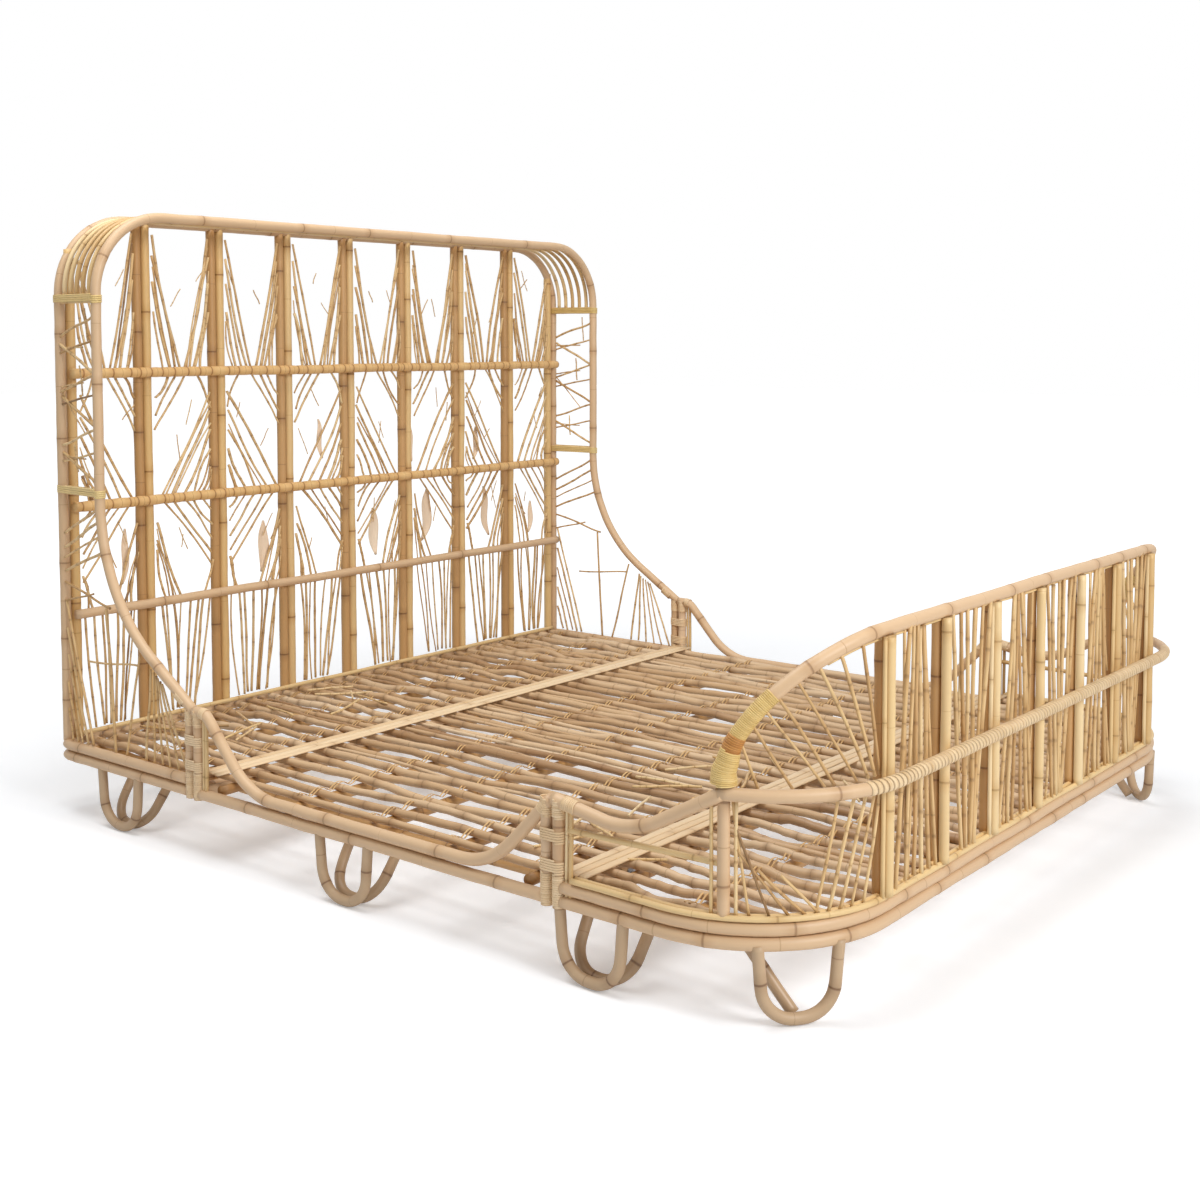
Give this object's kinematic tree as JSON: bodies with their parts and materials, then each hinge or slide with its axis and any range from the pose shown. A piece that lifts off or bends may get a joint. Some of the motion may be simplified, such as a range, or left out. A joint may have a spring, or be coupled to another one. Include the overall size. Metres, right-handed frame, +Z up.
{
  "type": "rattan bed",
  "caption": "Rattan bed with a tall latticed headboard that has a bent hood, a rounded latticed footboard, a deck of thin canes and bent hairpin legs.",
  "frame": {"origin": "on the floor, at the middle of the bounding box's base", "axes": "+X from the left side rail to the right one, seen from the footboard; +Y from the footboard to the headboard; +Z up from the floor"},
  "size_m": [2.012, 2.3, 1.566],
  "materials": {
    "rattan_pole": "satin",
    "rattan_dark": "satin",
    "rattan_light": "satin",
    "rattan_peel": "satin",
    "steel": "satin"
  },
  "bodies": {
    "root": {"head_hood_pole": "rattan_pole", "head_ring_lower": "rattan_pole", "head_ring_upper": "rattan_pole", "seam_posts": "rattan_pole", "middle_side_rail_left": "rattan_pole", "middle_side_rail_right": "rattan_pole", "middle_swoop_left": "rattan_pole", "middle_swoop_right": "rattan_pole", "foot_ring_lower": "rattan_pole", "foot_ring_upper": "rattan_pole", "foot_side_cane_left": "rattan_pole", "foot_side_cane_right": "rattan_pole", "foot_middle_rail": "rattan_pole", "foot_top_pole": "rattan_pole", "foot_corner_posts": "rattan_pole", "leg_head_left": "rattan_pole", "leg_head_right": "rattan_pole", "leg_middle_left": "rattan_pole", "leg_middle_right": "rattan_pole", "leg_seam_left": "rattan_pole", "leg_seam_right": "rattan_pole", "leg_corner_left": "rattan_pole", "leg_corner_right": "rattan_pole", "head_rail_upper": "rattan_pole", "head_rail_middle": "rattan_pole", "head_rail_lower": "rattan_pole", "head_back_pole": "rattan_dark", "head_inner_posts": "rattan_dark", "head_stiles": "rattan_dark", "foot_stiles": "rattan_dark", "end_canes": "rattan_dark", "deck_bearers": "rattan_dark", "deck_stringers": "rattan_dark", "head_hood_canes": "rattan_light", "head_fans_row_1": "rattan_light", "head_fans_row_2": "rattan_light", "head_fans_row_3": "rattan_light", "head_fans_row_4": "rattan_light", "wing_binder_sticks": "rattan_light", "wing_twigs": "rattan_light", "head_slats": "rattan_light", "middle_slats": "rattan_light", "foot_slats": "rattan_light", "light_posts": "rattan_light", "foot_trims": "rattan_light", "foot_fans": "rattan_light", "foot_corner_fans": "rattan_light", "foot_side_rails": "rattan_light", "head_foot_cane": "rattan_light", "wing_binder_bands": "rattan_peel", "deck_beams": "rattan_peel", "deck_laces": "rattan_peel", "foot_flares": "rattan_peel", "seam_bands": "rattan_peel", "seam_bolts": "steel", "seam_nuts": "steel", "seam_washers": "steel"}
  },
  "joints": []
}
